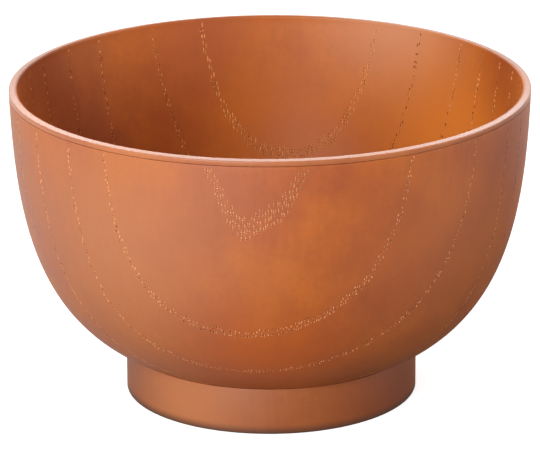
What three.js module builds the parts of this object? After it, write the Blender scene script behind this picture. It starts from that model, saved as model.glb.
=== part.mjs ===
import * as THREE from 'three';

// Soup bowl with a moulded wood-grain outside, an inner shell that carries the lip, and a plain foot ring.
// Millimetres, +Z up, origin on the floor at the centre of the foot.

// Driving dimensions of the outside
const rimDiameter = 115;
const bowlHeight = 70.5;
const footDiameter = 65;
const footHeight = 10.6;

// Outer wall curve: how steeply it leaves the rim and meets the foot, and how far each end holds its direction
const rimDraft = THREE.MathUtils.degToRad(2.4);
const rimReach = 24.5;
const baseSlope = THREE.MathUtils.degToRad(25.3);
const baseReach = 23.8;

// Lip at the top of the inner shell
const lipHeight = 1.45;
const lipOuterRound = 0.5;
const lipInnerRound = 0.55;

// Walls, thin at the lip and full at the base
const outerWallAtLip = 0.75;
const outerWallAtBase = 1.4;
const innerWallAtLip = 0.8;
const innerWallAtBase = 1.3;
const airGapAtBase = 2.6;
const floorFillet = 14;

// Foot ring and the round boss under the outer shell that centres it
const footWall = 4.2;
const footDraft = 0.6;
const footOuterRound = 0.4;
const footInnerRound = 0.8;
const bossDrop = 1.2;

// Clearance between pieces that meet
const fitGap = 0.3;

// Mesh fineness
const turnSteps = 64;
const wallSteps = 18;
const hiddenWallSteps = 9;
const filletSteps = 4;
const roundSteps = 3;

const rimRadius = rimDiameter / 2;
const footRadius = footDiameter / 2;
const seamHeight = bowlHeight - lipHeight;
const footTopRadius = footRadius - footWall;

// Insets of each wall face from the outside of the bowl, at the lip and at the base
const outerShellInside = { lip: outerWallAtLip, base: outerWallAtBase };
const innerShellOutside = { lip: outerWallAtLip + fitGap, base: outerWallAtBase + airGapAtBase };
const innerShellInside = {
  lip: innerShellOutside.lip + innerWallAtLip,
  base: innerShellOutside.base + innerWallAtBase,
};

// Outside of the bowl from the seam under the lip down to the foot, as radius and height
const outerWall = new THREE.CubicBezierCurve(
  new THREE.Vector2(rimRadius, seamHeight),
  new THREE.Vector2(rimRadius - rimReach * Math.sin(rimDraft), seamHeight - rimReach * Math.cos(rimDraft)),
  new THREE.Vector2(footRadius + baseReach * Math.cos(baseSlope), footHeight + baseReach * Math.sin(baseSlope)),
  new THREE.Vector2(footRadius, footHeight),
);

// Points of the wall curve moved inwards, square to the wall, by an inset that grows from the lip to the base
function wallFace(inset, steps) {
  const points = [];
  for (let step = 0; step <= steps; step += 1) {
    const along = step / steps;
    const tangent = outerWall.getTangent(along);
    const depth = THREE.MathUtils.lerp(inset.lip, inset.base, along);
    const inward = new THREE.Vector2(tangent.y, -tangent.x);
    points.push(outerWall.getPoint(along).addScaledVector(inward, depth));
  }
  return points;
}

// Points of a round between two angles, both ends included
function arc(centreRadius, centreHeight, radius, fromAngle, toAngle, steps) {
  const points = [];
  for (let step = 0; step <= steps; step += 1) {
    const angle = THREE.MathUtils.lerp(fromAngle, toAngle, step / steps);
    const radial = centreRadius + radius * Math.cos(angle);
    const height = centreHeight + radius * Math.sin(angle);
    points.push(new THREE.Vector2(radial, height));
  }
  return points;
}

// Fillet that carries a shell's face from the end of its wall to the level floor inside the foot
function floorRound(wallEnd, inset) {
  const radius = floorFillet - inset.base;
  const centreRadius = wallEnd.x - radius * Math.sin(baseSlope);
  const centreHeight = wallEnd.y + radius * Math.cos(baseSlope);
  const start = baseSlope - Math.PI / 2;
  return arc(centreRadius, centreHeight, radius, start, -Math.PI / 2, filletSteps).slice(1);
}

// One face of the inner shell from the lip to the axis
function innerShellFace(inset, steps) {
  const wall = wallFace(inset, steps);
  const round = floorRound(wall.at(-1), inset);
  const centre = new THREE.Vector2(0, round.at(-1).y);
  return [...wall, ...round, centre];
}

// Solid of revolution about Z from an outline that runs anticlockwise in radius and height
function turned(name, outline, finish) {
  const geometry = new THREE.LatheGeometry(outline, turnSteps);
  geometry.rotateX(Math.PI / 2);
  const mesh = new THREE.Mesh(geometry, new THREE.MeshStandardMaterial(finish));
  mesh.name = name;
  return mesh;
}

// Outer shell: grained wall, flat base plate, and the boss that the foot ring sits round
function outerShell() {
  const outside = wallFace({ lip: 0, base: 0 }, wallSteps);
  const inside = wallFace(outerShellInside, hiddenWallSteps);
  const topHeight = seamHeight - fitGap / 2;
  outside[0].y = topHeight;
  inside[0].y = topHeight;
  const bossRadius = footTopRadius - fitGap;
  const bossHeight = footHeight - bossDrop;
  const outline = [
    new THREE.Vector2(0, bossHeight),
    new THREE.Vector2(bossRadius, bossHeight),
    new THREE.Vector2(bossRadius, footHeight),
    ...outside.reverse(),
    ...inside,
    new THREE.Vector2(0, inside.at(-1).y),
  ];
  return turned('outer_shell', outline, { color: 0xc4713f, roughness: 0.42, metalness: 0 });
}

// Inner shell: food side, underside, and the lip that closes over the outer shell's top edge
function innerShell() {
  const underside = innerShellFace(innerShellOutside, hiddenWallSteps);
  const foodSide = innerShellFace(innerShellInside, wallSteps);
  const lipUnderside = seamHeight + fitGap / 2;
  underside[0].y = lipUnderside;
  const lipInnerRadius = rimRadius - innerShellInside.lip;
  const lip = [
    new THREE.Vector2(rimRadius, lipUnderside),
    ...arc(rimRadius - lipOuterRound, bowlHeight - lipOuterRound, lipOuterRound, 0, Math.PI / 2, roundSteps),
    ...arc(lipInnerRadius + lipInnerRound, bowlHeight - lipInnerRound, lipInnerRound,
      Math.PI / 2, Math.PI, roundSteps),
  ];
  const outline = [...underside.reverse(), ...lip, ...foodSide];
  return turned('inner_shell', outline, { color: 0x9a4a22, roughness: 0.38, metalness: 0 });
}

// Foot ring: plain upright band with a level rim to stand on, thicker towards its top by the inner draft
function footRing() {
  const topHeight = footHeight - fitGap;
  const innerBottomRadius = footTopRadius + footDraft;
  const outline = [
    ...arc(footRadius - footOuterRound, footOuterRound, footOuterRound, -Math.PI / 2, 0, roundSteps),
    new THREE.Vector2(footRadius, topHeight),
    new THREE.Vector2(footTopRadius, topHeight),
    ...arc(innerBottomRadius + footInnerRound, footInnerRound, footInnerRound,
      Math.PI, Math.PI * 1.5, roundSteps),
  ];
  outline.push(outline[0].clone());
  return turned('foot_ring', outline, { color: 0xb8652f, roughness: 0.45, metalness: 0 });
}

const bowl = new THREE.Group();
bowl.name = 'soup_bowl';
bowl.add(innerShell(), outerShell(), footRing());

export default bowl;
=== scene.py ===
import bpy
import math
import random
import numpy as np
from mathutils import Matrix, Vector
from mathutils.geometry import delaunay_2d_cdt


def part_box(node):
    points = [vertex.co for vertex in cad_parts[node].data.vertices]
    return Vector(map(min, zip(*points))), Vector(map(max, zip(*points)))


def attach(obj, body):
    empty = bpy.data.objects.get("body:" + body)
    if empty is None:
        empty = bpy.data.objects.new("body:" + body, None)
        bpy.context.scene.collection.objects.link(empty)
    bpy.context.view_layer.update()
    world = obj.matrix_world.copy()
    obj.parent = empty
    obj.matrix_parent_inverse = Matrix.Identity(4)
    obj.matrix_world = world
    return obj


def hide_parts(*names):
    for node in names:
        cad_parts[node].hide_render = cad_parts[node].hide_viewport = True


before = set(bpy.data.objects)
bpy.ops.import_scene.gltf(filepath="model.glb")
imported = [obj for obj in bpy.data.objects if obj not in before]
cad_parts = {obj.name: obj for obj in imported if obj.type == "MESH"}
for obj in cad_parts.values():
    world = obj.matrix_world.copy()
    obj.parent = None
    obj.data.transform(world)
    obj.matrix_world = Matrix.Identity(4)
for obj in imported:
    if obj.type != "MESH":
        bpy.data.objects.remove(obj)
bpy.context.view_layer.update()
mm = 0.001  # metres in a millimetre; the shapes below are worked out in millimetres
print("frame loaded:", ", ".join(sorted(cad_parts)))

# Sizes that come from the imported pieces, out of the low and high corners of their boxes
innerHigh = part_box("inner_shell")[1] / mm
outerLow, outerHigh = (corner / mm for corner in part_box("outer_shell"))
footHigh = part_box("foot_ring")[1] / mm
rimRadius = innerHigh.x
bowlHeight = innerHigh.z
footRadius = footHigh.x

# The wall's curve and thicknesses, as the pieces were drawn
wall = {
    "fitGap": 0.3,  # between pieces that meet
    "rimDraft": 2.4,  # degrees off upright at the rim
    "rimReach": 24.5,  # how far the rim's draft pulls the curve
    "baseSlope": 25.3,  # degrees off level at the foot
    "baseReach": 23.8,  # how far the base's slope pulls it
    "outerAtLip": 0.75,  # thickness of the outer shell
    "outerAtBase": 1.4,
    "innerAtLip": 0.8,  # thickness of the inner shell
    "innerAtBase": 1.3,
    "airGapAtBase": 2.6,
    "floorFillet": 14.0,
    "footWall": 4.2,
}
seamHeight = outerHigh.z + wall["fitGap"] / 2
footHeight = footHigh.z + wall["fitGap"]
hiddenLip = wall["outerAtLip"] + wall["fitGap"]  # inset of the inner shell's hidden side
hiddenBase = wall["outerAtBase"] + wall["airGapAtBase"]
foodLip = hiddenLip + wall["innerAtLip"]  # inset of the food side
foodBase = hiddenBase + wall["innerAtBase"]

ringSteps = 240  # facets round every piece
roundSteps = 8  # facets across a round
edgeSteps = 4  # facets across a finer one
creaseAngle = math.radians(35)  # edges sharper than this stay crisp
axisRadius = 1e-6  # what is nearer to the axis is one point

# Material slots of the pieces
coatSlot = 0
poreSlot = 1
# slot of the pores' flanks that are painted dark as shade
shadedFlankSlot = 2
lipSlot = 3
edgeShadeSlot = 1  # on the foot's outside, with painted shade along its lower edge; the foot has no pores


# Radius and height along the outside wall from the seam to the foot, with an inset that changes on the way
def wallFace(insetAtLip, insetAtBase, steps):
    draft = math.radians(wall["rimDraft"])
    slope = math.radians(wall["baseSlope"])
    rim = np.array([rimRadius, seamHeight])
    base = np.array([footRadius, footHeight])
    rimHandle = rim - wall["rimReach"] * np.array([math.sin(draft), math.cos(draft)])
    baseHandle = base + wall["baseReach"] * np.array([math.cos(slope), math.sin(slope)])
    t = np.linspace(0, 1, steps + 1)[:, None]
    point = (1 - t) ** 3 * rim + 3 * (1 - t) ** 2 * t * rimHandle
    point += 3 * (1 - t) * t ** 2 * baseHandle + t ** 3 * base
    along = (1 - t) ** 2 * (rimHandle - rim) + 2 * (1 - t) * t * (baseHandle - rimHandle)
    along += t ** 2 * (base - baseHandle)
    along /= np.linalg.norm(along, axis=1)[:, None]
    inward = np.stack([along[:, 1], -along[:, 0]], axis=1)
    return point + inward * (insetAtLip + (insetAtBase - insetAtLip) * t)


# Round of a profile between two angles in degrees, both ends included
def arc(centreRadius, centreHeight, radius, fromDegrees, toDegrees, steps):
    angle = np.radians(np.linspace(fromDegrees, toDegrees, steps + 1))
    return np.stack([centreRadius + radius * np.cos(angle), centreHeight + radius * np.sin(angle)], axis=1)


# Food side or hidden side of the inner shell: wall, then the fillet down to the level floor
def innerFace(insetAtLip, insetAtBase, wallSteps, filletSteps):
    face = wallFace(insetAtLip, insetAtBase, wallSteps)
    radius = wall["floorFillet"] - insetAtBase
    slope = math.radians(wall["baseSlope"])
    centreRadius = face[-1, 0] - radius * math.sin(slope)
    centreHeight = face[-1, 1] + radius * math.cos(slope)
    fillet = arc(centreRadius, centreHeight, radius, wall["baseSlope"] - 90, -90, filletSteps)
    return np.concatenate([face, fillet[1:]])


# A mesh in the making: faces carry their own corner normals, map corners and material slot
def newShell():
    return {"points": [], "faces": [], "normals": [], "corners": [], "slots": []}


def addFace(shell, face, normals, corners, slot):
    shell["faces"].append(face)
    shell["normals"].extend(normals)
    shell["corners"].extend(corners)
    shell["slots"].append(slot)


# Angle of a step round the axis, from the back by the left side and the front to the back again
def turnAt(step):
    return 2 * math.pi * step / ringSteps - math.pi


# One circle of points, or a single point repeated where it lies on the axis
def addRing(shell, radius, height):
    first = len(shell["points"])
    if radius < axisRadius:
        shell["points"].append((0.0, 0.0, height))
        return [first] * ringSteps
    for step in range(ringSteps):
        turn = turnAt(step)
        shell["points"].append((radius * math.sin(turn), -radius * math.cos(turn), height))
    return list(range(first, first + ringSteps))


# Plain turned stretch of an outline that runs anticlockwise, between two circles that may exist already; its
# place on the map is a band between two heights
def turnStretch(shell, outline, slot, band, firstRing=None, lastRing=None):
    outline = np.asarray(outline, float)
    run = np.diff(outline, axis=0)
    side = np.stack([run[:, 1], -run[:, 0]], axis=1)
    side /= np.linalg.norm(side, axis=1)[:, None]
    length = np.concatenate([[0], np.cumsum(np.linalg.norm(run, axis=1))])
    length /= length[-1]
    circles = [addRing(shell, *point) for point in outline[1:-1]]
    circles.insert(0, firstRing or addRing(shell, *outline[0]))
    circles.append(lastRing or addRing(shell, *outline[-1]))

    def eased(segment, neighbour):  # corner normal, shared with the next segment unless the edge is crisp
        if not 0 <= neighbour < len(side):
            return side[segment]
        if np.dot(side[segment], side[neighbour]) < math.cos(creaseAngle):
            return side[segment]
        mean = side[segment] + side[neighbour]
        return mean / np.linalg.norm(mean)

    for segment in range(len(side)):
        lower, upper = circles[segment], circles[segment + 1]
        ends = (eased(segment, segment - 1), eased(segment, segment + 1))
        heights = [band[0] + (band[1] - band[0]) * length[segment + k] for k in (0, 1)]
        for step in range(ringSteps):
            after = (step + 1) % ringSteps
            face = [(lower[step], 0, 0), (lower[after], 1, 0), (upper[after], 1, 1), (upper[step], 0, 1)]
            if lower[step] == lower[after]:
                face.pop(1)
            elif upper[step] == upper[after]:
                face.pop(2)
            normals, corners = [], []
            for _, ahead, end in face:
                turn = turnAt(step + ahead)
                normals.append((ends[end][0] * math.sin(turn), -ends[end][0] * math.cos(turn), ends[end][1]))
                corners.append(((step + ahead) / ringSteps, heights[end]))
            addFace(shell, [corner[0] for corner in face], normals, corners, slot)
    return circles[0], circles[-1]


# Grain: upright growth rings cross the bowl from side to side, and rows of pores follow the line where a ring
# comes out through a wall. A ring lies at y = place + bow (x - centre)^2 + skew (x - centre)^3, with bow in
# 1/1000 and skew in 1/100000, and a fold bends it sharply at one place. Nine of them are as photographed.
growthRings = [
    {"place": -56.3, "bow": 6.6, "centre": -0.9, "fold": 0.087, "foldAt": -5.7, "rows": 13, "longest": 0.7},
    {"place": -51.28, "bow": 4.66, "centre": 10.2, "skew": 4.1, "rows": 5},
    {"place": -44.41, "bow": 4.93, "centre": 10.9, "skew": 5.26, "share": 0.8},
    {"place": -31.9, "bow": 2.2, "centre": -11.7, "skew": -1.2, "share": 0.6},
    {"place": -24.0, "bow": 2.0, "centre": 2.0, "share": 0.6},
    {"place": -15.5, "bow": 2.0, "centre": 5.0, "share": 0.6},
    {"place": -7.0, "bow": 2.0, "centre": 8.0, "share": 0.6},
    {"place": 1.5, "bow": 2.0, "centre": 8.0, "share": 0.6},
    {"place": 10.0, "bow": 1.2, "centre": 6.0, "share": 0.6},
    {"place": 18.8, "bow": 0.9, "centre": 8.0, "share": 0.6},
    {"place": 24.5, "bow": 3.2, "centre": -7.2, "skew": -3.8, "share": 0.7},
    {"place": 31.6, "bow": 5.6, "centre": -7.9, "skew": -8.7, "share": 0.8},
    {"place": 43.0, "bow": 3.5, "centre": 22.2, "skew": 2.5, "rows": 5},
    {"place": 49.8, "bow": 2.1, "centre": 19.6, "skew": -1.8, "rows": 7, "longest": 0.7,
     "radius": (0.18, 0.24)},
    {"place": 55.6, "bow": 1.9, "centre": 18.0, "share": 0.6},
]
# what a ring and its rows of pores are like unless the ring says otherwise, in millimetres
pore = {
    "seed": 11,
    "skew": 0.0,
    "fold": 0.0,
    "foldAt": 0.0,
    "foldRound": 1.0,
    "wobble": 0.05,  # how far a ring waves
    "wobbleLength": 9.0,
    "step": 0.02,  # how finely a ring is followed
    "rows": 3,  # stacked straight up the wall
    "rowGap": 0.38,
    "rowStray": 0.08,
    "aside": 0.22,  # to one side or the other of the ring's line
    "asideStray": 0.04,
    "spacing": 0.56,  # along the ring's line on the wall
    "spacingSpread": (0.8, 1.2),
    "share": 1.0,  # of the places that hold a pore
    "radius": (0.15, 0.2),  # half width of a mark
    "longest": 0.4,  # half length of a mark
    "lengthSpread": (0.7, 1.0),
    "shortest": 1.1,  # half length as a share of the half width
    "flattest": 0.02,  # least slope of the wall that a mark's length is worked out for
    "lean": 0.12,  # slant off upright
    "sink": 0.9,  # depth of a mark as a share of its half width
    "sides": 8,
    "slender": 1.6,  # a mark this much longer than wide has two lowest points
    "lowestAt": 0.5,  # their place as a share of the half length
    "shadedTurn": 0.35,  # how far a flank turns to the shaded side before it is painted dark as shade
    "apart": 0.03,  # between two marks
    "meshApart": 0.08,  # between a mark and the wall's other points
    "margin": 0.1,  # to the wall's ends
    "seamMargin": 0.004,  # to the edges of the flat layout, in radians
    "cell": (0.06, 3.0),  # search cells, in radians round the wall and millimetres along it
}
# flat layout in which a wall is cut into triangles
layOut = {
    "radius": 50.0,  # at which turns are unrolled to millimetres
    "rowHeight": 1.5,
    "tolerance": 1e-6,
}
noMark = -1  # owner of the points between the marks
# baked picture: a strip for what is plain, and above it a tile for each quarter of a grained wall
bake = {
    "plainStrip": 0.12,
    "sideMargin": 0.03,  # shares of a tile
    "endMargin": 0.01,
}


# Lookup along a profile: arc length, place, and the normal on the wanted side
def lookup(profile, side):
    run = np.linalg.norm(np.diff(profile, axis=0), axis=1)
    length = np.concatenate([[0], np.cumsum(run)])
    along = np.gradient(profile, length, axis=0)
    along /= np.linalg.norm(along, axis=1)[:, None]
    normal = side * np.stack([-along[:, 1], along[:, 0]], axis=1)
    return {"length": length, "place": profile, "normal": normal}


# Place or normal of a lookup at some length along it
def at(table, key, length):
    pair = table[key]
    return np.stack([np.interp(length, table["length"], pair[:, k]) for k in (0, 1)], axis=-1)


# The line where a ring comes out through a wall, step by step from left to right
def ringLine(kind, table):
    x = np.arange(-rimRadius, rimRadius, pore["step"])
    run = x - kind["centre"]
    y = kind["place"] + kind["bow"] / 1e3 * run ** 2 + kind["skew"] / 1e5 * run ** 3
    y += kind["wobble"] * np.sin(2 * math.pi * x / kind["wobbleLength"])
    y -= kind["fold"] * (np.hypot(x - kind["foldAt"], kind["foldRound"]) - kind["foldRound"])
    radii = table["place"][:, 0]
    reach = np.hypot(x, y)
    onWall = (radii[-1] < reach) & (reach < radii[0])
    length = np.interp(reach, radii[::-1], table["length"][::-1])
    turn = np.unwrap(np.arctan2(x, -y))
    stride = np.hypot(np.gradient(turn) * reach, np.gradient(length))
    path = np.cumsum(np.where(onWall, stride, 0.0))
    return {"reach": reach, "onWall": onWall, "length": length, "turn": turn, "path": path}


# What chance gives one pore, drawn whether or not the pore is made
def drawPore(chance, kind, row):
    return {
        "onward": kind["spacing"] * chance.uniform(*kind["spacingSpread"]),
        "rise": row * kind["rowGap"] + chance.uniform(-kind["rowStray"], kind["rowStray"]),
        "side": chance.choice((-1, 1)),
        "stray": chance.uniform(-kind["asideStray"], kind["asideStray"]),
        "lean": chance.gauss(0, kind["lean"]),
        "radius": chance.uniform(*kind["radius"]),
        "longest": kind["longest"] * chance.uniform(*kind["lengthSpread"]),
        "held": chance.random() <= kind["share"],
    }


# Shape and place of one pore on the wall: an upright vessel leaves a longer mark where the wall is steeper
def shapeMark(kind, draw, line, k, table, side, facing):
    reach, length = line["reach"][k], line["length"][k]
    slope = abs(at(table, "normal", length)[1])
    radius = draw["radius"]
    stretched = radius / max(slope, kind["flattest"])
    half = max(kind["shortest"] * radius, min(draw["longest"], stretched))
    across, along = math.sin(draw["lean"]), math.cos(draw["lean"])
    shift = draw["side"] * kind["aside"] + draw["stray"]
    turn = line["turn"][k] - facing + shift / reach
    return {
        "radius": radius,
        "half": half,
        "reach": reach,
        "way": (across, along),
        "length": length - side * draw["rise"],
        "turn": (turn + math.pi) % (2 * math.pi) - math.pi,
        "wide": (radius * abs(along) + half * abs(across)) / reach,
        "tall": half * abs(along) + radius * abs(across),
    }


def cellOf(mark):
    return int(mark["turn"] // pore["cell"][0]), int(mark["length"] // pore["cell"][1])


# True where a mark, or a bare spot, keeps its distance in millimetres from all marks near it
def clear(cells, spot, distance):
    column, row = cellOf(spot)
    for i in (-1, 0, 1):
        for j in (-1, 0, 1):
            for mark in cells.get((column + i, row + j), []):
                wide = mark["wide"] + spot["wide"] + distance / mark["reach"]
                tall = mark["tall"] + spot["tall"] + distance
                if abs(spot["turn"] - mark["turn"]) < wide and abs(spot["length"] - mark["length"]) < tall:
                    return False
    return True


# True where a mark lies inside its wall and clear of the marks made before it
def fits(cells, mark, wallLength):
    inLength = pore["margin"] < mark["length"] - mark["tall"]
    inLength = inLength and mark["length"] + mark["tall"] < wallLength - pore["margin"]
    inTurn = abs(mark["turn"]) + mark["wide"] < math.pi - pore["seamMargin"]
    return inLength and inTurn and clear(cells, mark, pore["apart"])


# Marks of the pores on a wall, none touching another
def marksOn(table, side, facing):
    chance = random.Random(pore["seed"])
    marks, cells = [], {}
    for ring in growthRings:
        kind = {**pore, **ring}
        line = ringLine(kind, table)
        for row in range(kind["rows"]):
            along = chance.uniform(0, kind["spacing"])
            while along < line["path"][-1]:
                k = int(np.searchsorted(line["path"], along))
                draw = drawPore(chance, kind, row)
                along += draw["onward"]
                if not (draw["held"] and line["onWall"][k]):
                    continue
                mark = shapeMark(kind, draw, line, k, table, side, facing)
                mark["wiped"] = chance.choice((-1, 1))  # the side whose flank is painted dark as shade
                if fits(cells, mark, table["length"][-1]):
                    marks.append(mark)
                    cells.setdefault(cellOf(mark), []).append(mark)
    return marks, cells


# Turn and length of a point of a mark, from its place along and across the mark
def onMark(mark, along, across):
    right = along * mark["way"][0] - across * mark["way"][1]
    onward = along * mark["way"][1] + across * mark["way"][0]
    return mark["turn"] + right / mark["reach"], mark["length"] + onward


# A wall laid out flat: its points with the mark that owns each and its depth, the edges to keep, and the
# points on the four borders
def newSheet():
    return {key: [] for key in ("flat", "owner", "sunk", "edges", "first", "last", "left", "right")}


def lay(sheet, turn, length, owner=noMark, depth=0.0):
    sheet["flat"].append(Vector((turn * layOut["radius"], length)))
    sheet["owner"].append(owner)
    sheet["sunk"].append(depth)
    return len(sheet["flat"]) - 1


# Rows of points over the whole wall that leave room for the marks
def layRows(sheet, cells, wallLength):
    rowCount = round(wallLength / layOut["rowHeight"])
    for row in range(rowCount + 1):
        length = wallLength * row / rowCount
        endRow = row in (0, rowCount)
        staggered = row % 2 == 1 and not endRow
        for step in range(ringSteps + 1):
            endStep = step in (0, ringSteps)
            shift = 0.5 if staggered and not endStep else 0.0
            if shift and step == ringSteps - 1:
                continue
            turn = turnAt(step + shift)
            bare = {"turn": turn, "length": length, "wide": 0.0, "tall": 0.0}
            if not (endRow or endStep or clear(cells, bare, pore["meshApart"])):
                continue
            index = lay(sheet, turn, length)
            if row == 0:
                sheet["first"].append(index)
            if row == rowCount:
                sheet["last"].append(index)
            if step == 0:
                sheet["left"].append(index)
            if step == ringSteps:
                sheet["right"].append(index)


# Edge and lowest points of each mark
def layMarks(sheet, marks):
    for number, mark in enumerate(marks):
        start = len(sheet["flat"])
        for k in range(pore["sides"]):
            angle = 2 * math.pi * k / pore["sides"]
            turn, length = onMark(mark, mark["half"] * math.cos(angle), mark["radius"] * math.sin(angle))
            lay(sheet, turn, length, number)
            sheet["edges"].append((start + k, start + (k + 1) % pore["sides"]))
        slender = mark["half"] > pore["slender"] * mark["radius"]
        for share in ((-pore["lowestAt"], pore["lowestAt"]) if slender else (0.0,)):
            turn, length = onMark(mark, share * mark["half"], 0.0)
            lay(sheet, turn, length, number, pore["sink"] * mark["radius"])


# Turns pairs of radius and height, or of a normal's two parts, round the axis
def spin(pairs, angle):
    return np.stack([pairs[:, 0] * np.sin(angle), -pairs[:, 0] * np.cos(angle), pairs[:, 1]], axis=1)


# Place on the baked picture of a point in one quarter of a grained wall
def mapCorner(quarter, turn, lengthShare):
    across = (turn + math.pi) / (math.pi / 2) - quarter
    u = bake["sideMargin"] + (1 - 2 * bake["sideMargin"]) * across
    v = bake["endMargin"] + (1 - 2 * bake["endMargin"]) * lengthShare
    tileHeight = (1 - bake["plainStrip"]) / 2
    return (quarter % 2 + u) / 2, bake["plainStrip"] + tileHeight * (quarter // 2 + v)


# Engraved wall: the turned face is cut into triangles round every mark, and each mark is a sunken groove with
# one flank painted dark as shade. Side is 1 for an outside wall and -1 for an inside one, and facing is the
# turn at the middle of the flat layout
def engraveWall(shell, profile, side, facing):
    table = lookup(profile, side)
    wallLength = table["length"][-1]
    marks, cells = marksOn(table, side, facing)
    sheet = newSheet()
    layRows(sheet, cells, wallLength)
    layMarks(sheet, marks)
    cut = delaunay_2d_cdt(sheet["flat"], sheet["edges"], [], 0, layOut["tolerance"], True)
    _, _, triangles, origins, _, _ = cut
    source = [laid[0] for laid in origins]
    spread = np.array([sheet["flat"][origin] for origin in source])
    turn = spread[:, 0] / layOut["radius"]
    length = spread[:, 1]
    depth = np.array([sheet["sunk"][origin] for origin in source])
    normal = at(table, "normal", length)
    position = spin(at(table, "place", length) - normal * depth[:, None], turn + facing)
    outward = spin(normal, turn + facing)

    welded = dict(zip(sheet["right"], sheet["left"]))  # the layout's two edges meet on the bowl
    index = {}
    for k, origin in enumerate(source):
        if origin not in welded:
            index[origin] = len(shell["points"])
            shell["points"].append(tuple(position[k]))
    made = [index[welded.get(origin, origin)] for origin in source]

    for triangle in triangles:
        order = list(triangle) if side < 0 else list(triangle)[::-1]
        owners = {sheet["owner"][source[k]] for k in order}
        middle = sum(turn[k] for k in order) / 3
        if len(owners) == 1 and noMark not in owners:
            mark = marks[owners.pop()]
            a, b, c = (position[k] for k in order)
            plain = np.cross(b - a, c - a)
            plain /= np.linalg.norm(plain)
            normals = [tuple(plain)] * 3
            sideways = plain[0] * math.cos(middle + facing) + plain[1] * math.sin(middle + facing)
            # a flank that turns to the pore's shaded side is painted dark as shade
            slot = shadedFlankSlot if side * mark["wiped"] * sideways > pore["shadedTurn"] else poreSlot
        else:
            normals = [tuple(outward[k]) for k in order]
            slot = coatSlot
        quarter = min(3, int((middle + math.pi) / (math.pi / 2)))
        corners = [mapCorner(quarter, turn[k], length[k] / wallLength) for k in order]
        addFace(shell, [made[k] for k in order], normals, corners, slot)

    roll = round(facing / (2 * math.pi) * ringSteps)  # so that both ends start at the back, as circles do
    ends = []
    for row in (sheet["first"], sheet["last"]):
        ring = [index[k] for k in row[:-1]]
        ends.append(ring[-roll:] + ring[:-roll] if roll else ring)
    return ends, len(marks)


# Makes the object of a piece, hangs it on the root body and hides the imported piece it stands for
def finishPiece(name, shell, materials, node):
    mesh = bpy.data.meshes.new(name)
    mesh.from_pydata([Vector(p) * mm for p in shell["points"]], [], shell["faces"])
    mesh.polygons.foreach_set("material_index", shell["slots"])
    mesh.polygons.foreach_set("use_smooth", [True] * len(shell["faces"]))
    layer = mesh.uv_layers.new(name="OFBake")
    layer.data.foreach_set("uv", np.array(shell["corners"], dtype=np.float32).ravel())
    mesh.normals_split_custom_set(shell["normals"])
    for material in materials:
        mesh.materials.append(material)
    piece = bpy.data.objects.new(name, mesh)
    bpy.context.scene.collection.objects.link(piece)
    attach(piece, "root")
    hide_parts(node)
    print(name, "made:", len(shell["faces"]), "faces")
    return piece


# Colours are written as sRGB hex and turned to linear here
def ink(hexText):
    parts = [int(hexText[k:k + 2], 16) / 255 for k in (1, 3, 5)]
    return tuple(c / 12.92 if c <= 0.04045 else ((c + 0.055) / 1.055) ** 2.4 for c in parts) + (1.0,)


# Adds a node with its settings; an input that is a socket gets linked, any other value is set
def addNode(tree, kind, inputs=None, **settings):
    node = tree.nodes.new(kind)
    for key, value in settings.items():
        setattr(node, key, value)
    for key, value in (inputs or {}).items():
        if isinstance(value, bpy.types.NodeSocket):
            tree.links.new(value, node.inputs[key])
        else:
            node.inputs[key].default_value = value
    return node


# Sockets of a Mix node that mixes colours
mixShare = 0
mixFirst = 6
mixSecond = 7
mixResult = 2


def newMaterial(name):
    material = bpy.data.materials.new(name)
    material.use_nodes = True
    material.node_tree.nodes.clear()
    return material, material.node_tree


# What every coat shares
spray = {
    "cloudDetail": 6.0,
    "cloudRoughness": 0.58,
    "cloudStops": (0.38, 0.5, 0.62),  # of the noise, for the dark, middle and bright tones
    "fineDetail": 2.0,
    "noiseRange": (0.3, 0.7),  # what most of the noise lies between
    "glossSpread": (-0.04, 0.05),  # added to the roughness in the dark and in the bright clouds
    "refraction": 1.5,
}


# Lays soft patches of tint over a colour
def layPatches(tree, space, colour, patches):
    for patch in patches:
        place = space
        if "axes" in patch:
            place = addNode(tree, "ShaderNodeVectorMath", {
                0: space, 1: patch["axes"]}, operation="MULTIPLY").outputs["Vector"]
        away = addNode(tree, "ShaderNodeVectorMath", {
            0: place, 1: Vector(patch["at"]) * mm}, operation="DISTANCE")
        cover = addNode(tree, "ShaderNodeMapRange", {
            "Value": away.outputs["Value"], "From Max": patch["reach"] * mm,
            "To Min": patch["share"], "To Max": 0.0}, interpolation_type="SMOOTHSTEP")
        colour = addNode(tree, "ShaderNodeMix", {
            mixShare: cover.outputs["Result"], mixFirst: colour, mixSecond: ink(patch["tint"])},
            data_type="RGBA").outputs[mixResult]
    return colour


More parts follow.
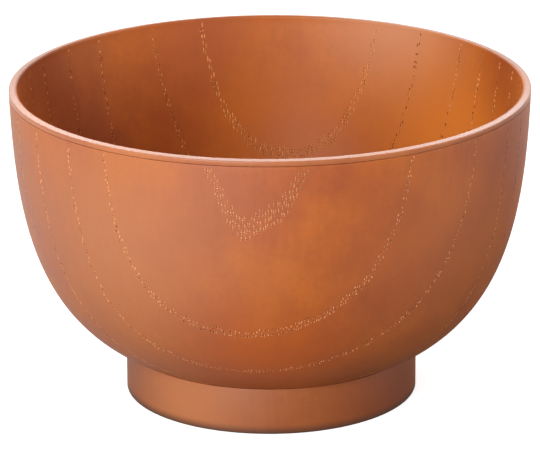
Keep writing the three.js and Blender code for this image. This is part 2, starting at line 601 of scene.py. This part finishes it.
# Satin urethane sprayed over moulded resin: cloudy orange-brown, a soft broad sheen, faint upright streaks
# and an orange-peel speckle, both drawn coarser than real ones so that they show
def sprayedResin(name, look):
    material, tree = newMaterial(name)
    noiseLow, noiseHigh = spray["noiseRange"]
    space = addNode(tree, "ShaderNodeTexCoord").outputs["Object"]
    clouds = addNode(tree, "ShaderNodeTexNoise", {
        "Vector": space, "Scale": 1 / (look["cloudSize"] * mm),
        "Detail": spray["cloudDetail"], "Roughness": spray["cloudRoughness"]})
    tint = addNode(tree, "ShaderNodeValToRGB", {"Fac": clouds.outputs["Fac"]})
    darkStop, middleStop, brightStop = spray["cloudStops"]
    stops = tint.color_ramp.elements
    stops[0].position = darkStop
    stops[0].color = ink(look["dark"])
    stops[1].position = brightStop
    stops[1].color = ink(look["bright"])
    stops.new(middleStop).color = ink(look["middle"])
    drawn = addNode(tree, "ShaderNodeMapping", {"Vector": space, "Scale": (1.0, 1.0, look["streakDraw"])})
    streaks = addNode(tree, "ShaderNodeTexNoise", {
        "Vector": drawn.outputs["Vector"], "Scale": 1 / (look["streakWidth"] * mm),
        "Detail": spray["fineDetail"]})
    peel = addNode(tree, "ShaderNodeTexNoise", {
        "Vector": space, "Scale": 1 / (look["peelSize"] * mm), "Detail": spray["fineDetail"]})

    colour = tint.outputs["Color"]
    for pattern, tone in ((streaks, look["streakTone"]), (peel, look["peelTone"])):
        shade = addNode(tree, "ShaderNodeMapRange", {
            "Value": pattern.outputs["Fac"], "From Min": noiseLow, "From Max": noiseHigh,
            "To Min": 1 - tone, "To Max": 1 + tone})
        colour = addNode(tree, "ShaderNodeMix", {
            mixShare: 1.0, mixFirst: colour, mixSecond: shade.outputs["Result"]},
            data_type="RGBA", blend_type="MULTIPLY").outputs[mixResult]
    # the patches are thinner or thicker spray, and in places painted sheen, highlight and shade
    colour = layPatches(tree, space, colour, look["patches"])

    smoother, rougher = (look["roughness"] + part for part in spray["glossSpread"])
    gloss = addNode(tree, "ShaderNodeMapRange", {
        "Value": clouds.outputs["Fac"], "From Min": noiseLow, "From Max": noiseHigh,
        "To Min": smoother, "To Max": rougher})
    peelBump = addNode(tree, "ShaderNodeBump", {
        "Height": peel.outputs["Fac"], "Strength": 1.0, "Distance": look["peelDepth"] * mm})
    bump = addNode(tree, "ShaderNodeBump", {
        "Height": streaks.outputs["Fac"], "Strength": 1.0, "Distance": look["streakDepth"] * mm,
        "Normal": peelBump.outputs["Normal"]})
    coat = addNode(tree, "ShaderNodeBsdfPrincipled", {
        "Base Color": colour, "Roughness": gloss.outputs["Result"], "IOR": spray["refraction"],
        "Specular IOR Level": look["sheen"], "Normal": bump.outputs["Normal"]})
    addNode(tree, "ShaderNodeOutputMaterial", {"Surface": coat.outputs["BSDF"]})
    return material


# Passes of the spray gun that lie thinner or thicker, and as marked below painted sheen, highlight and shade:
# soft balls of tint, placed on the bowl in millimetres
wallPatches = [
    # painted sheen: paler and pinker on the left front, where the light's broad reflection falls
    {"at": (-34, -44, 48), "reach": 48, "tint": "#BC7A54", "share": 0.7},
    {"at": (0, -42, 24), "reach": 26, "tint": "#CC601A", "share": 0.75},
    {"at": (36, -42, 46), "reach": 34, "tint": "#BE6C42", "share": 0.6},
    # painted shade: darker at the far left edge
    {"at": (-58, -6, 56), "reach": 24, "tint": "#8A5030", "share": 0.55},
]
foodPatches = [
    # painted highlight: paler and pinker high on the food side's right
    {"at": (30, 46, 72), "reach": 30, "tint": "#CE8E68", "share": 0.95},
    {"at": (-16, 50, 68), "reach": 26, "tint": "#A85A38", "share": 0.8},
    {"at": (40, 28, 44), "reach": 36, "tint": "#EA8C36", "share": 0.9},
    {"at": (52, 16, 68), "reach": 22, "tint": "#8E3C18", "share": 0.55},
    {"at": (4, 46, 38), "reach": 34, "tint": "#BE641A", "share": 0.9},
    # painted shade: darker high on the food side's left
    {"at": (-48, 20, 76), "reach": 36, "tint": "#8A3E18", "share": 0.85},
]
footPatches = [
    # painted sheen: paler on the foot's left front
    {"at": (-19, -26, 6), "reach": 25, "tint": "#C47C50", "share": 0.75},
    # painted shade: darker on the foot's right, under the belly
    {"at": (28, -18, 6), "reach": 34, "tint": "#803E1E", "share": 0.9},
]
# axes say which directions count: here height alone, for a band of painted shade round the foot's lower edge,
# where it meets the floor
edgeContactShade = {"at": (0, 0, 0), "axes": (0, 0, 1), "reach": 2.3, "tint": "#4E3226", "share": 0.92}

# grained wall: warm brown and cloudy, with a broad satin sheen; sizes in millimetres, tones as shares
wallLook = {
    "dark": "#AA552C", "middle": "#B85E2A", "bright": "#C46828", "cloudSize": 26.0,
    "streakWidth": 1.2, "streakDraw": 0.12, "streakTone": 0.035, "streakDepth": 0.004,
    "peelSize": 1.3, "peelTone": 0.04, "peelDepth": 0.004,
    "roughness": 0.5, "sheen": 0.6, "patches": wallPatches,
}
# a pore's light flank, where the coat is thin, and its other flank, painted dark as shade
poreLook = dict(wallLook, dark="#D08654", middle="#DA905A", bright="#E29A62", patches=[])
shadedFlankLook = dict(wallLook, dark="#7E3C1C", middle="#88421C", bright="#924A1E", patches=[])
# food side: more orange, smoother and with less sheen, and the same two flanks
foodLook = dict(wallLook, dark="#AA5828", middle="#B86428", bright="#C66E26", roughness=0.45, sheen=0.3,
                patches=foodPatches)
foodPoreLook = dict(foodLook, dark="#D88E56", middle="#E0985A", bright="#E8A25E", patches=[])
foodShadedFlankLook = dict(foodLook, dark="#6C3416", middle="#743816", bright="#7E4016", patches=[])
# lip: paler and even, the paler colour partly painted highlight, with the sharpest gloss
lipLook = dict(wallLook, dark="#B2643A", middle="#BA6C40", bright="#C27446", streakTone=0.01, roughness=0.36,
               sheen=0.5, patches=[])
# foot: duller brown, with painted shade darkening the edge it stands on
footLook = dict(wallLook, dark="#9A522A", middle="#A2582C", bright="#AA5F30", sheen=0.45, patches=footPatches)
footEdgeShadeLook = dict(footLook, patches=[*footPatches, edgeContactShade])

wallCoat = sprayedResin("moulded_resin_grained_satin_coat", wallLook)
poreCoat = sprayedResin("moulded_resin_open_pore", poreLook)
# the pores' flanks painted dark as shade
poreShadedFlankCoat = sprayedResin("wiped_glaze_in_pore", shadedFlankLook)
foodCoat = sprayedResin("moulded_resin_food_side_coat", foodLook)
foodPoreCoat = sprayedResin("moulded_resin_food_side_pore", foodPoreLook)
# the food side's pore flanks painted dark as shade
foodPoreShadedFlankCoat = sprayedResin("wiped_glaze_in_food_side_pore", foodShadedFlankLook)
lipCoat = sprayedResin("moulded_resin_lip_coat", lipLook)
footCoat = sprayedResin("moulded_resin_foot_coat", footLook)
footEdgeShadeCoat = sprayedResin("moulded_resin_foot_coat_with_painted_edge_shade", footEdgeShadeLook)
print("materials made")

# Outer shell: grained wall, the boss under it that fits into the foot, and the hidden side
outer = {
    "seamGap": 0.1,  # the line that shows under the lip
    "edgeRound": 0.08,
    "bossRound": 0.4,
    "wallSteps": 220,
    "hiddenSteps": 40,
    "undersideBand": (0.0, 0.05),  # on the map, as the next
    "hiddenBand": (0.05, 0.11),
}


def makeOuterShell():
    shell = newShell()
    topHeight = seamHeight - outer["seamGap"] / 2
    edge = outer["edgeRound"]
    face = wallFace(0, 0, outer["wallSteps"])
    face = face[face[:, 1] < topHeight - edge]
    top = np.array([np.interp(topHeight - edge, face[::-1, 1], face[::-1, 0]), topHeight - edge])
    (topRing, baseRing), markCount = engraveWall(shell, np.concatenate([[top], face]), 1, 0.0)
    print("outer wall marks:", markCount)

    bossRadius = footRadius - wall["footWall"] - wall["fitGap"]
    bossHeight = outerLow.z
    bossRound = outer["bossRound"]
    boss = arc(bossRadius - bossRound, bossHeight + bossRound, bossRound, -90, 0, edgeSteps)
    underside = [(0, bossHeight), *boss, (bossRadius, footHeight), (footRadius, footHeight)]
    turnStretch(shell, underside, coatSlot, outer["undersideBand"], lastRing=baseRing)

    hidden = wallFace(wall["outerAtLip"], wall["outerAtBase"], outer["hiddenSteps"])
    hidden = hidden[hidden[:, 1] < topHeight - edge]
    outerRound = arc(top[0] - edge, topHeight - edge, edge, 0, 90, edgeSteps)
    innerRound = arc(hidden[0, 0] + edge, topHeight - edge, edge, 90, 180, edgeSteps)
    over = [*outerRound, *innerRound, *hidden, (0, hidden[-1, 1])]
    turnStretch(shell, over, coatSlot, outer["hiddenBand"], firstRing=topRing)
    coats = [wallCoat, poreCoat, poreShadedFlankCoat]
    return finishPiece("grained_outer_shell", shell, coats, "outer_shell")


# Inner shell: grained food side with its floor, the hidden side, and the plain lip, whose top slopes outward
inner = {
    "lipDrop": 0.12,  # of the lip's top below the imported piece's
    "lipSlope": 10.0,  # degrees
    "outerRound": 0.25,
    "innerRound": 0.5,
    "edgeRound": 0.1,
    "plainRun": 0.1,  # below the lip's inner round, before the grain
    "joinGap": 0.2,  # least height from where a wall is joined to its own first point
    "wallSteps": 200,
    "filletSteps": 24,
    "hiddenWallSteps": 40,
    "hiddenFilletSteps": 8,
    "floorRows": 16,
    "floorBand": (0.0, 0.04),  # on the map, as the next three
    "hiddenBand": (0.04, 0.07),
    "lipBand": (0.07, 0.1),
    "roundBand": (0.1, 0.11),
}


def makeInnerShell():
    shell = newShell()
    lipUnderside = seamHeight + outer["seamGap"] / 2
    lipInner = rimRadius - foodLip
    lipTop = bowlHeight - inner["lipDrop"]
    face = innerFace(foodLip, foodBase, inner["wallSteps"], inner["filletSteps"])
    start = np.array([lipInner, lipTop - inner["innerRound"] - inner["plainRun"]])
    profile = np.concatenate([[start], face[face[:, 1] < start[1] - inner["joinGap"]]])
    (topRing, floorRing), markCount = engraveWall(shell, profile, -1, math.pi)
    print("food side marks:", markCount)

    floorRadius, floorHeight = profile[-1]
    floorRows = inner["floorRows"]
    floor = [(floorRadius * (1 - k / floorRows), floorHeight) for k in range(floorRows + 1)]
    turnStretch(shell, floor, coatSlot, inner["floorBand"], firstRing=floorRing)

    hidden = innerFace(hiddenLip, hiddenBase, inner["hiddenWallSteps"], inner["hiddenFilletSteps"])[::-1]
    hidden = hidden[hidden[:, 1] < lipUnderside - inner["joinGap"]]
    under = [(0, hidden[0, 1]), *hidden, (rimRadius - hiddenLip, lipUnderside)]
    underRing = turnStretch(shell, under, coatSlot, inner["hiddenBand"])[1]

    edge = inner["edgeRound"]
    lower = arc(rimRadius - edge, lipUnderside + edge, edge, -90, 0, edgeSteps)
    tilt = 90 - inner["lipSlope"]
    lean = math.radians(inner["lipSlope"])
    small, large = inner["outerRound"], inner["innerRound"]
    innerRound = arc(lipInner + large, lipTop - large, large, tilt, 180, roundSteps)
    roundCentre = rimRadius - small
    reach = roundCentre + small * math.sin(lean) - innerRound[0, 0]
    roundHeight = innerRound[0, 1] - reach * math.tan(lean) - small * math.cos(lean)
    outerRound = arc(roundCentre, roundHeight, small, 0, tilt, roundSteps)
    lip = [under[-1], *lower, *outerRound, innerRound[0]]
    lipRing = turnStretch(shell, lip, lipSlot, inner["lipBand"], firstRing=underRing)[1]
    inward = [*innerRound, start]
    turnStretch(shell, inward, coatSlot, inner["roundBand"], firstRing=lipRing, lastRing=topRing)
    coats = [foodCoat, foodPoreCoat, foodPoreShadedFlankCoat, lipCoat]
    return finishPiece("lipped_inner_shell", shell, coats, "inner_shell")


# Foot ring: upright outside, a slight draft inside, and a level face to stand on
foot = {
    "draft": 0.6,
    "outerRound": 0.4,
    "innerRound": 0.8,
    "topRound": 0.15,
    "topGap": 0.12,  # the crease under the wall
    "outsideBand": (0.0, 0.45),  # on the map, as the next two
    "insideBand": (0.45, 0.9),
    "standBand": (0.9, 1.0),
}


def makeFootRing():
    shell = newShell()
    topHeight = footHeight - foot["topGap"]
    topInner = footRadius - wall["footWall"]
    bottomInner = topInner + foot["draft"]
    low, high, within = foot["outerRound"], foot["topRound"], foot["innerRound"]
    outside = [
        *arc(footRadius - low, low, low, -90, 0, roundSteps),
        *arc(footRadius - high, topHeight - high, high, 0, 90, edgeSteps),
    ]
    inside = [
        outside[-1],
        (topInner, topHeight),
        *arc(bottomInner + within, within, within, 180, 270, roundSteps),
    ]
    stand = [inside[-1], outside[0]]
    # the outside carries the painted shade along its lower edge
    edgeRing, topRing = turnStretch(shell, outside, edgeShadeSlot, foot["outsideBand"])
    standRing = turnStretch(shell, inside, coatSlot, foot["insideBand"], firstRing=topRing)[1]
    turnStretch(shell, stand, coatSlot, foot["standBand"], firstRing=standRing, lastRing=edgeRing)
    return finishPiece("plain_foot_ring", shell, [footCoat, footEdgeShadeCoat], "foot_ring")


makeOuterShell()
makeInnerShell()
makeFootRing()


# Sockets that tell a ray from the camera, and one from a reflection or through something clear
def rayKinds(tree):
    path = addNode(tree, "ShaderNodeLightPath")
    mirrored = addNode(tree, "ShaderNodeMath", {
        0: path.outputs["Is Glossy Ray"], 1: path.outputs["Is Transmission Ray"]}, operation="MAXIMUM")
    return path.outputs["Is Camera Ray"], mirrored.outputs[0]


# Matt paper floor: white to the camera with a faint shadow, and greyer for the light that bounces up under
# the bowl. In the coat's reflections it is white further off and shaded round the bowl, more so at the right
stage = {
    "halfWidth": 3.0,
    "drop": 2e-5,  # below the foot, so that the two don't share a plane
    "bounce": "#686868",
    "mirrored": "#606060",
    "mirroredLift": 1.25,
    "shadeAt": (0.17, -0.08, 0.0),
    "shadeNear": 0.11,
    "shadeFar": 0.38,
    "seen": "#BCBCBC",
    "seenLift": 0.8,
}


def makeFloor():
    material, tree = newMaterial("matt_paper_white")
    seen, mirrored = rayKinds(tree)
    paint = addNode(tree, "ShaderNodeMix", {
        mixShare: mirrored, mixFirst: ink(stage["bounce"]), mixSecond: ink(stage["mirrored"])},
        data_type="RGBA")
    paint = addNode(tree, "ShaderNodeMix", {
        mixShare: seen, mixFirst: paint.outputs[mixResult], mixSecond: ink(stage["seen"])},
        data_type="RGBA")
    matte = addNode(tree, "ShaderNodeBsdfDiffuse", {"Color": paint.outputs[mixResult]})
    place = addNode(tree, "ShaderNodeNewGeometry").outputs["Position"]
    away = addNode(tree, "ShaderNodeVectorMath", {0: place, 1: stage["shadeAt"]}, operation="DISTANCE")
    lift = addNode(tree, "ShaderNodeMapRange", {
        "Value": away.outputs["Value"], "From Min": stage["shadeNear"], "From Max": stage["shadeFar"],
        "To Max": stage["mirroredLift"]}, interpolation_type="SMOOTHSTEP")
    strength = addNode(tree, "ShaderNodeMath", {0: mirrored, 1: lift.outputs["Result"]}, operation="MULTIPLY")
    strength = addNode(tree, "ShaderNodeMath", {
        0: seen, 1: stage["seenLift"], 2: strength.outputs[0]}, operation="MULTIPLY_ADD")
    glow = addNode(tree, "ShaderNodeEmission", {"Strength": strength.outputs[0]})
    both = addNode(tree, "ShaderNodeAddShader", {0: matte.outputs[0], 1: glow.outputs[0]})
    addNode(tree, "ShaderNodeOutputMaterial", {"Surface": both.outputs[0]})
    mesh = bpy.data.meshes.new("floor")
    half, low = stage["halfWidth"], -stage["drop"]
    corners = [(-half, -half, low), (half, -half, low), (half, half, low), (-half, half, low)]
    mesh.from_pydata(corners, [], [(0, 1, 2, 3)])
    mesh.materials.append(material)
    floor = bpy.data.objects.new("floor", mesh)
    bpy.context.scene.collection.objects.link(floor)
    print("floor laid")


makeFloor()

# Soft studio light: a key box low at the front left, a weaker one above it for the inside, one at the right,
# and a panel behind that the lip mirrors; metres and watts
lamps = {
    "keyBox": {"place": (-0.33, -0.90, 0.30), "size": (0.5, 0.55), "power": 9.7},
    "topBox": {"place": (-0.52, -0.40, 0.75), "size": (0.5, 0.5), "power": 2.6},
    "rightBox": {"place": (0.95, 0.05, 0.26), "size": (0.5, 0.4), "power": 4.2},
    "backPanel": {"place": (-0.1, 0.78, 0.65), "size": (1.0, 0.55), "power": 9.0},
}


def hangLamps():
    target = Vector((0, 0, bowlHeight * mm / 2))
    for name, lamp in lamps.items():
        light = bpy.data.lights.new(name, "AREA")
        light.shape = "RECTANGLE"
        light.size, light.size_y = lamp["size"]
        light.energy = lamp["power"]
        holder = bpy.data.objects.new(name, light)
        holder.location = lamp["place"]
        holder.rotation_euler = (target - holder.location).to_track_quat("-Z", "Y").to_euler()
        bpy.context.scene.collection.objects.link(holder)
    print("lamps hung:", len(lamps))


hangLamps()

# The room is white to the camera and in reflections, where it darkens from its walls to its ceiling
room = {
    "colour": "#FFFFFF",
    "shown": 1.0,
    "ceiling": 0.05,
    "wallTop": 0.5,  # how far a direction points up where the walls end
    "ceilingFrom": 0.75,
    "ambient": 0.02,
}


def paintRoom():
    world = bpy.data.worlds.new("room")
    bpy.context.scene.world = world
    world.use_nodes = True
    tree = world.node_tree
    tree.nodes.clear()
    seen, mirrored = rayKinds(tree)
    direction = addNode(tree, "ShaderNodeTexCoord").outputs["Generated"]
    upward = addNode(tree, "ShaderNodeSeparateXYZ", {0: direction})
    overhead = addNode(tree, "ShaderNodeMapRange", {
        "Value": upward.outputs["Z"], "From Min": room["wallTop"], "From Max": room["ceilingFrom"],
        "To Min": room["shown"], "To Max": room["ceiling"]})
    reflected = addNode(tree, "ShaderNodeMath", {
        0: mirrored, 1: overhead.outputs["Result"], 2: room["ambient"]}, operation="MULTIPLY_ADD")
    strength = addNode(tree, "ShaderNodeMath", {
        0: seen, 1: room["shown"], 2: reflected.outputs[0]}, operation="MULTIPLY_ADD")
    back = addNode(tree, "ShaderNodeBackground", {
        "Color": ink(room["colour"]), "Strength": strength.outputs[0]})
    addNode(tree, "ShaderNodeOutputWorld", {"Surface": back.outputs[0]})
    print("room painted")


paintRoom()

# Camera where the photograph was taken from, worked out from the bowl's outline there; metres and degrees
view = {
    "elevation": 18.3,
    "roll": -0.3,
    "distance": 0.9165,
    "aimHeight": 0.03741,
    "aside": -0.00013,
    "focalPixels": 4112.0,
    "imageWidth": 540,
    "sensorWidth": 36.0,  # millimetres
    "nearest": 0.05,
}


def placeCamera():
    camera = bpy.data.cameras.new("camera")
    camera.sensor_width = view["sensorWidth"]
    camera.lens = view["focalPixels"] * view["sensorWidth"] / view["imageWidth"]
    camera.clip_start = view["nearest"]
    holder = bpy.data.objects.new("camera", camera)
    rise = math.radians(view["elevation"])
    back, up = view["distance"] * math.cos(rise), view["distance"] * math.sin(rise)
    holder.location = (view["aside"], -back, view["aimHeight"] + up)
    holder.rotation_euler = (math.pi / 2 - rise, 0, 0)
    holder.rotation_euler.rotate_axis("Z", math.radians(view["roll"]))
    bpy.context.scene.collection.objects.link(holder)
    bpy.context.scene.camera = holder
    print("camera placed")


placeCamera()
bpy.context.scene.view_settings.view_transform = "Standard"
